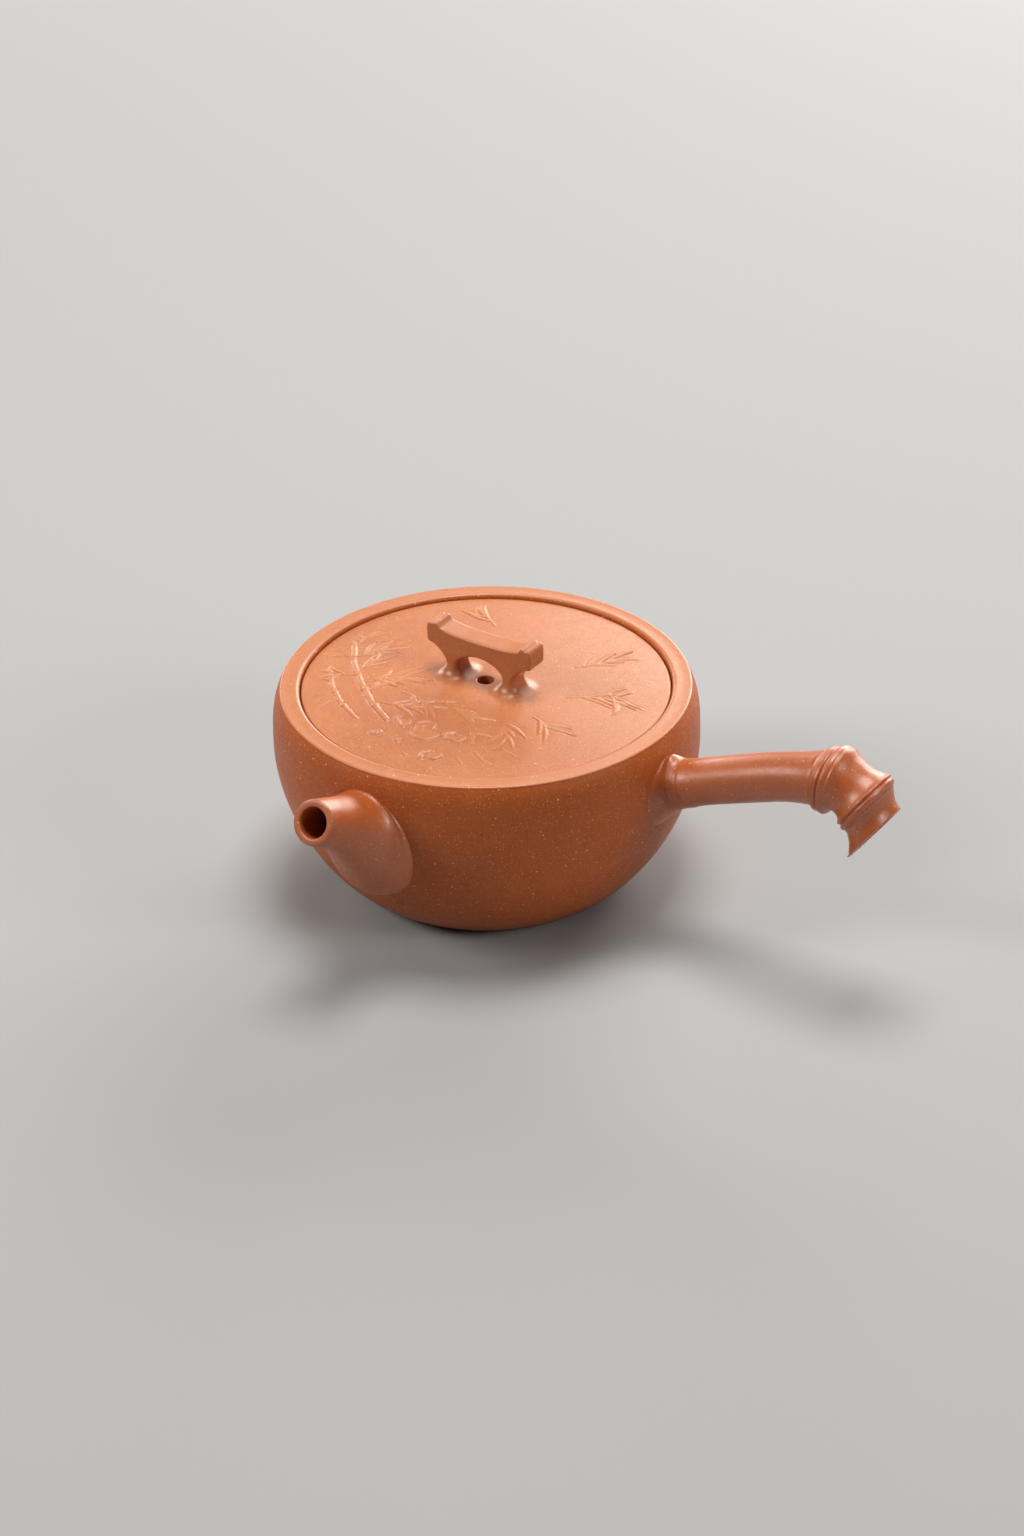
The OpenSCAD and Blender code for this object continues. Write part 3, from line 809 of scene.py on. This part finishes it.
def sprig(seed, x, y, heading, length, leaves, side):
    """A thin twig with leaves fanning off it."""
    draw = np.random.default_rng(seed)
    ends = [(x, y)]
    for k in range(3):
        turn = radians(heading + side * 9 * (k - 1))
        ends.append((ends[-1][0] + length / 3 * cos(turn),
                     ends[-1][1] + length / 3 * sin(turn)))
    strokes = [band(ends, 0.5, 0.14)]
    for k in range(leaves):
        share = 0.2 + 0.8 * (k + 1) / leaves
        at = [np.interp(share * 3, range(4), [end[i] for end in ends]) for i in (0, 1)]
        turn = (-1) ** k * (14 + 26 * draw.random()) * side
        strokes.append(leaf(*at, heading + turn, 4.6 + 4.2 * draw.random(),
                            0.85 + 0.4 * draw.random()))
    return strokes


# Twigs of the relief: [x, y, heading in degrees, length, leaves, side]
TWIGS = [
    (-33.2, -3.5, 100, 6, 5, 1), (-30.6, -6.2, 62, 7, 6, -1), (-31.5, -6.0, 186, 3.5, 3, 1),
    (-26.6, -10.8, 80, 6, 5, 1), (-22.8, -14.2, 38, 9, 7, -1), (-25.5, -12.2, 196, 6, 5, -1),
    (-19.4, -16.9, 76, 6, 4, 1), (-28.6, -17.0, 176, 5, 4, 1), (-22.5, -22.6, 232, 5, 4, 1),
    (-14.6, -19.2, 12, 8, 5, 1), (-12.6, -13.4, -12, 8, 5, -1), (-2.0, -12.4, -14, 9, 5, 1),
    (4.2, -16.4, -26, 7, 4, -1), (12.4, -10.2, -58, 8, 6, 1), (17.2, -7.4, -24, 5, 4, -1),
    (18.6, 3.4, 30, 9, 6, -1), (24.4, 10.6, -34, 5, 4, 1), (12.8, 15.4, 58, 8, 6, 1),
    (-12.5, 21.8, 148, 6, 4, 1)]


def relief_strokes():
    """Two leaning culms and rocks on the spout's side, with twigs round the lid."""
    tall = [(-8.5, -24.5), (-15.5, -20.2), (-22.8, -14.2), (-29.2, -8), (-33.6, -1.6)]
    short = [(-14.5, -27.2), (-21.4, -23.4), (-27.6, -18.2), (-32.4, -12.2)]
    strokes = [band(tall, 1.3, 0.22, (0.2, 0.42, 0.62, 0.83)),
               band(short, 1.0, 0.18, (0.28, 0.55, 0.8))]
    for seed, twig in enumerate(TWIGS):
        strokes += sprig(seed, *twig)
    return strokes + [
        band([(14.5, -25.4), (17.6, -27.3), (21.8, -27.6)], 0.55, 0.15),
        band([(1.6, -33.4), (3.8, -34.1), (5.4, -33.6)], 0.45, 0.12),
        band([(18.6, -21.6), (22.4, -22.2)], 0.5, 0.14),
        band([(12.6, -29.4), (14.8, -30.6)], 0.5, 0.12)]


# Rocks of the relief: [x, y, size]
ROCKS = [(1.2, -24.2, 4.2), (-5.0, -23.2, 2.4), (7.6, -23.2, 2.5), (7.2, -31.4, 2.4),
         (-7.6, -29.6, 1.4), (-1.6, -29.9, 1.1)]


def relief_height(px, py):
    """The carved height at places on the lid: the highest ridge, or else the deepest cut.
    The rocks stand before the leaves."""
    high, deep, stone = np.zeros((3, *px.shape))
    for stroke in relief_strokes():
        h = stroke(px, py)
        high, deep = np.maximum(high, h), np.minimum(deep, h)
    least_ridge, least_stone = 0.015, 0.02
    carved = np.where(high > least_ridge, high, deep)
    for seed, place in enumerate(ROCKS):
        h = rock(seed, *place)(px, py)
        stone = np.where(np.abs(h) > least_stone, h, stone)
    carved = np.where(stone != 0, stone, carved)
    r = np.hypot(px, py)
    plain_edge, plain_middle_r, fade = 3.2, 9, 2
    outside = np.clip((lid_r - plain_edge - r) / fade, 0, 1)
    return carved * (outside * np.clip((r - plain_middle_r) / fade, 0, 1))


# ---- Lid ----

def disc_rings():
    """The first ring of the lid's top, and all the rings' radii, close where it is carved.
    marks are [ring, radius]."""
    vent_edge = vent_r + 0.25
    marks = [(9, vent_edge), (26, 8.0), (132, 34.0), (144, lid_r - lid_edge_round)]
    number, radius = zip(*marks)
    return number[0], np.interp(np.arange(number[-1] + 1), number, radius)


def ring_angles(ring):
    return np.arange(8 * ring + 1) * (FULL_TURN / (8 * ring))


def fan(outer, inner):
    """Triangles between two rings, where outer has a whole number of points for each of
    inner's."""
    each = (len(outer) - 1) // (len(inner) - 1)
    triangles = []
    for j in range(len(inner) - 1):
        middle = j * each + each // 2
        for k in range(j * each, (j + 1) * each):
            triangles.append([inner[j] if k < middle else inner[j + 1], outer[k], outer[k + 1]])
        triangles.append([inner[j], outer[middle], inner[j + 1]])
    return np.array(triangles)


def lid_top_faces(first, radii):
    """Four-cornered faces of the carved top, outside the ring numbered first. Ring i has
    8 i points, so all the faces are much the same size."""
    last = len(radii) - 1
    u, v = np.meshgrid(np.arange(-last, last + 1), np.arange(-last, last + 1), indexing="ij")
    ring = np.maximum(np.abs(u), np.abs(v))
    wide = np.abs(u) >= np.abs(v)
    with np.errstate(divide="ignore", invalid="ignore"):
        angle = np.where(wide, pi / 4 * v / u + np.where(u < 0, pi, 0),
                         pi / 2 - pi / 4 * u / v + np.where(v < 0, pi, 0))
    angle = np.nan_to_num(angle)
    x, y = radii[ring] * np.cos(angle), radii[ring] * np.sin(angle)
    top = np.stack([x, y, lid_top(radii[ring]) + relief_height(x, y)], -1)
    near, far = slice(None, -1), slice(1, None)
    corners = [(near, near), (far, near), (far, far), (near, far)]
    kept = np.max([ring[corner] for corner in corners], axis=0) > first
    return np.stack([top[corner][kept] for corner in corners], 1)


def lid_edge_line(edge_r):
    """The lid's side, from its rounded top edge to the locating ring."""
    chamfer = 0.2
    round_over = arc((edge_r, lid_top(edge_r) - lid_edge_round), lid_edge_round, 90, 0, 6)
    return joined(round_over, [(lid_r, lid_under_z + chamfer), (lid_r - chamfer, lid_under_z),
                               (ring_r, lid_under_z)])


def vent_line(top_r):
    """The hollow underside within the ring, and the vent up to its rounded mouth."""
    soft, hollow = 0.25, 0.9
    share = np.linspace(1, vent_r / ring_inner_r, 12)
    under = np.stack([ring_inner_r * share, lid_under_z + hollow * lid_rise * (1 - share ** 2)], -1)
    mouth_z = lid_top(top_r) - soft
    return joined(under, [(vent_r, mouth_z)], arc((vent_r + soft, mouth_z), soft, 180, 90, 5))


def make_lid():
    """The crowned lid with its relief and its vent."""
    first, radii = disc_rings()
    edge = turned(lid_edge_line(radii[-1]), ring_angles(len(radii) - 1))
    vent = turned(vent_line(radii[first]), ring_angles(first))
    lid = merged_mesh("lid_disc_skin", [edge, vent],
                      [lid_top_faces(first, radii), fan(edge[-1], vent[0])])
    mark_relief(lid)
    soften(lid, radians(50))
    return placed(lid, "lid", "clay_lid", lid_clay, "lid_disc")


def mark_relief(lid):
    """Keeps the carved height of the lid's top as an attribute, for the clay's colour: painted
    shade in the cuts and lighter ridges.
    """
    r, z = radii_heights(lid.data)
    well_up, well_in = 1.5, 0.1
    on_top = (z > lid_under_z + well_up) & (r < lid_r - lid_edge_round - well_in)
    height = np.where(on_top, (z - lid_top(r)) / RIDGE, 0)
    relief = lid.data.attributes.new("relief", "FLOAT", "POINT")
    relief.data.foreach_set("value", height.astype(np.float32))


def make_locating_ring():
    soft = 0.5
    line = joined(
        spaced([(ring_r, lid_under_z), (ring_r, ring_low_z + soft)], 0.6),
        arc((ring_r - soft, ring_low_z + soft), soft, 0, -90, 6),
        arc((ring_inner_r + soft, ring_low_z + soft), soft, -90, -180, 6),
        spaced([(ring_inner_r, ring_low_z + soft), (ring_inner_r, lid_under_z)], 0.6))
    ring = revolved("lid_locating_ring_skin", line, columns(260))
    return placed(ring, "lid", "clay_under", under_clay, "lid_locating_ring")


def make_bead():
    """The bead of slip in the corner between the lid and its ring."""
    size = bead_r - bead_inner_r
    hollow = arc((bead_r - size, bead_z - size), size, 0, 90, 9)
    bead = revolved("lid_slip_bead_skin", joined([(bead_r, bead_z)], hollow), columns(220))
    return placed(bead, "lid_carrier", "clay_slip", slip_clay, "lid_slip_bead")


# ---- Knob: a bar with upturned ends on two legs, blended into the lid ----
#
# The knob is a field of distances in mm, below zero inside, and its mesh is the field's
# zero surface.

knob_low, knob_high = (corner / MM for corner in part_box("lid_knob"))
knob_end_x = knob_high.x
knob_half_w = knob_high.y
lid_centre_z = lid_edge_z + lid_rise
scroll_l, scroll_h, end_t, waist_h = 3.4, 1.8, 3.3, 2.7
knob_mid_z = knob_high.z - scroll_h
knob_under_z = knob_mid_z - end_t
leg_waist_z = lid_centre_z + waist_h
knob_t, knob_saddle, leg_lean = 3.8, 0.7, 1.3
arch_half_w, leg_w = 5.7, 3.0
leg_outer_x = arch_half_w + leg_w
BLEND = 3.4
EDGE_ROUND = 0.42
LEG_ROUND = 1.25


def knob_outline():
    """The knob's side view, going round."""
    saddle_end = knob_end_x - scroll_l
    x = np.linspace(0, saddle_end, 12)
    saddle = np.stack([x, knob_mid_z + knob_saddle * (x / saddle_end) ** 3], -1)
    top = knob_mid_z + scroll_h
    scroll = np.concatenate([
        np.add((saddle_end, top), [(0.35, -0.75), (0.8, -0.15), (1.3, 0.02), (1.75, -0.12),
                                   (2.05, -0.4), (2.4, -0.22)]),
        np.add((knob_end_x, top), [(-0.7, -0.16), (-0.3, -0.42), (-0.06, -0.85), (0, -1.5)]),
        np.add((knob_end_x, knob_under_z), [(0, 1.1), (-0.3, 0.3)])])
    a = np.radians(np.linspace(90, 0, 12))
    leg_top_in = 1.2
    reach = knob_end_x - leg_top_in - leg_outer_x
    lean_x = 1 - np.clip(np.cos(a), 0, 1) ** leg_lean
    lean_z = np.clip(np.sin(a), 0, 1) ** leg_lean
    leg = np.stack([leg_outer_x + reach * lean_x,
                    leg_waist_z + (knob_under_z - leg_waist_z) * lean_z], -1)
    foot = [(leg_outer_x, lid_under_z), (arch_half_w, lid_under_z)]
    a = np.radians(np.linspace(0, 90, 14))
    arch = np.stack([arch_half_w * np.cos(a),
                     leg_waist_z + (knob_mid_z - knob_t - leg_waist_z) * np.sin(a)], -1)
    half = np.concatenate([saddle, scroll, leg, foot, arch])
    other = (half * (-1, 1))[::-1]
    return np.concatenate([half, other[1:-1]])


def outline_distance(outline, px, pz):
    """Signed distance to a closed outline, below zero inside."""
    near = np.full(px.shape, 1e9)
    inside = np.zeros(px.shape, bool)
    for (ax, az), (bx, bz) in zip(outline, np.roll(outline, -1, axis=0)):
        dx, dz = bx - ax, bz - az
        t = np.clip(((px - ax) * dx + (pz - az) * dz) / (dx * dx + dz * dz), 0, 1)
        near = np.minimum(near, np.hypot(px - ax - t * dx, pz - az - t * dz))
        if dz:
            crosses = ((az > pz) != (bz > pz)) & (px < ax + (pz - az) * dx / dz)
            inside ^= crosses
    return np.where(inside, -near, near)


def knob_field(p, outline):
    """The knob, its fillets and a thin skirt that lies hidden in the lid."""
    x, y, z = np.moveaxis(p, -1, 0)
    leg_top_z = knob_under_z - 1
    low_share = np.clip((leg_top_z - z) / (leg_top_z - leg_waist_z), 0, 1)
    soft = EDGE_ROUND + (LEG_ROUND - EDGE_ROUND) * low_share
    most, swell_l = 0.12, 4
    swell = most * np.clip((np.abs(x) - knob_end_x + swell_l) / swell_l, 0, 1) ** 2
    side = outline_distance(outline, x, z) + soft
    depth = np.abs(y) - knob_half_w - swell + soft
    knob = np.minimum(np.maximum(side, depth), 0) + np.hypot(
        np.maximum(side, 0), np.maximum(depth, 0)) - soft
    top = lid_top(np.hypot(x, y))
    lid = z - top
    share = np.clip(1 - np.abs(knob - lid) / BLEND, 0, 1)
    blended = np.minimum(knob, lid) - share ** 2 * BLEND / 4
    below_lid, past_blend, skirt_depth = 0.003, 0.3, 0.45
    skirt = np.maximum(blended + below_lid, knob - BLEND - past_blend)
    return np.maximum(skirt, top - skirt_depth - z)


def block(starts, counts):
    """Slices of a grid: along each axis in starts, counts of that axis from that place."""
    return tuple(slice(starts[k], starts[k] + counts[k]) if k in starts else slice(None)
                 for k in range(3))


def skin_of(field, low, high, step):
    """Points and quads of a field's zero surface: one point in each cell that it passes
    through, moved onto it."""
    axes = [np.arange(a, b + step, step) for a, b in zip(low, high)]
    places = np.stack(np.meshgrid(*axes, indexing="ij"), -1)
    value = field(places)
    cells = tuple(n - 1 for n in value.shape)
    fewer = tuple(n - 1 for n in cells)
    total, count = np.zeros(cells + (3,)), np.zeros(cells)
    quads = []
    index = np.arange(np.prod(cells)).reshape(cells)
    for axis in range(3):
        p, q = (k for k in range(3) if k != axis)
        near = np.take(value, range(cells[axis]), axis)
        far = np.take(value, range(1, cells[axis] + 1), axis)
        crossed = (near < 0) != (far < 0)
        at = np.take(places, range(cells[axis]), axis).copy()
        with np.errstate(divide="ignore", invalid="ignore"):
            at[..., axis] += step * np.where(crossed, near / (near - far), 0)
        corners = []
        for i, j in ((0, 0), (0, 1), (1, 0), (1, 1)):
            part = block({p: i, q: j}, cells)
            total += np.where(crossed[part][..., None], at[part], 0)
            count += crossed[part]
            corners.append(index[block({p: 1 - i, q: 1 - j}, fewer)])
        here = crossed[block({p: 1, q: 1}, fewer)]
        quads.append(np.stack([corners[k][here] for k in (3, 1, 0, 2)], -1))
    used = count.ravel() > 0
    points = total.reshape(-1, 3)[used] / count.ravel()[used][:, None]
    number = np.cumsum(used) - 1
    faces = number[np.concatenate(quads)]
    nudge = 1e-3
    for _ in range(4):
        here = field(points)
        slope = np.stack([(field(points + hop) - here) / nudge for hop in nudge * np.eye(3)], -1)
        slope /= np.maximum(np.linalg.norm(slope, axis=-1, keepdims=True), 0.5)
        points = points - np.clip(here, -step / 2, step / 2)[:, None] * slope
    return points, faces


def make_knob():
    outline = knob_outline()
    ends, sides, above, step = 1.2, 0.9, 0.8, 0.26
    low = (knob_low.x - ends, -knob_half_w - BLEND - sides, lid_top(knob_end_x) - sides)
    high = (knob_high.x + ends, knob_half_w + BLEND + sides, knob_high.z + above)
    points, faces = skin_of(lambda p: knob_field(p, outline), low, high, step)
    knob = soften(mesh_object("bridge_knob_skin", points, faces.tolist()), radians(60))
    return placed(knob, "lid", "clay_lid", knob_clay, "lid_knob", "knob_left_foot_slip",
                  "knob_right_foot_slip")


# ---- Stage ----

def make_floor():
    mesh = bpy.data.meshes.new("floor")
    reach = 6.0
    corners = [(-reach, -reach, 0), (reach, -reach, 0), (reach, reach, 0), (-reach, reach, 0)]
    mesh.from_pydata(corners, [], [(0, 1, 2, 3)])
    n = Nodes("pale_floor")
    skin = n.add("BsdfPrincipled", {"Base Color": (0.35, 0.362, 0.38, 1), "Roughness": 0.85})
    n.add("OutputMaterial", {"Surface": skin.outputs[0]})
    mesh.materials.append(n.material)
    linked("floor", mesh)


def direction(azimuth, elevation):
    """Azimuth 0 is towards -Y and 90 towards +X."""
    a, e = radians(azimuth), radians(elevation)
    return Vector((sin(a) * cos(e), -cos(a) * cos(e), sin(e)))


def softbox(name, azimuth, elevation, distance, size, radiance):
    """A soft, warm light that faces the pot."""
    place = direction(azimuth, elevation) * distance
    light = bpy.data.lights.new(name, "AREA")
    light.shape = "RECTANGLE"
    light.size, light.size_y = size
    light.energy = radiance * pi * size[0] * size[1]
    light.color = (1.0, 0.95, 0.88)
    lamp = linked(name, light)
    lamp.location = place
    lamp.rotation_mode = "QUATERNION"
    lamp.rotation_quaternion = (-place).to_track_quat("-Z", "Y")


def make_lights():
    softbox("top", 190, 82, 1.0, (0.42, 0.42), 14.5)
    softbox("sheen", 187, 24, 1.2, (0.9, 0.4), 9.5)
    softbox("low", 186, 6, 1.2, (0.7, 0.16), 10.0)
    softbox("edge", 240, 13, 1.2, (0.6, 0.22), 9.5)
    softbox("left", 316, 36, 1.1, (0.26, 0.34), 21.0)
    softbox("right", 92, 30, 1.1, (0.3, 0.3), 13.0)
    world = bpy.data.worlds.new("studio")
    world.use_nodes = True
    background = world.node_tree.nodes["Background"]
    background.inputs["Color"].default_value = (0.95, 0.97, 1.0, 1)
    background.inputs["Strength"].default_value = 0.06
    bpy.context.scene.world = world
    bpy.context.scene.view_settings.view_transform = "Standard"


def make_camera():
    """A long lens from above the spout's side, with the pot a little left of the middle."""
    azimuth, elevation, roll = 34.5, 30.4, 0.98
    target, distance = Vector((-1.7, 11.8, 17.7)) * MM, 937.3 * MM
    back = direction(azimuth, elevation)
    data = bpy.data.cameras.new("camera")
    data.lens = 100
    data.sensor_width = 36
    data.clip_start, data.clip_end = 0.05, 50
    camera = linked("camera", data)
    turn = (-back).to_track_quat("-Z", "Y").to_matrix().to_4x4()
    camera.matrix_world = (Matrix.Translation(target + back * distance) @ turn
                           @ Matrix.Rotation(radians(-roll), 4, "Z"))
    bpy.context.scene.camera = camera


make_camera()
make_lights()
make_floor()

make_wall()
make_base()
make_rim()
make_seat()
make_spout()
make_collar()
make_length("handle_shank", COLLAR_END, SHANK_END)
make_length("handle_inner_joint", SHANK_END, INNER_JOINT_END)
make_length("handle_middle", INNER_JOINT_END, MIDDLE_END)
make_outer_joint()
make_handle_end()
make_lid()
make_locating_ring()
make_bead()
make_knob()
colour_strainer()
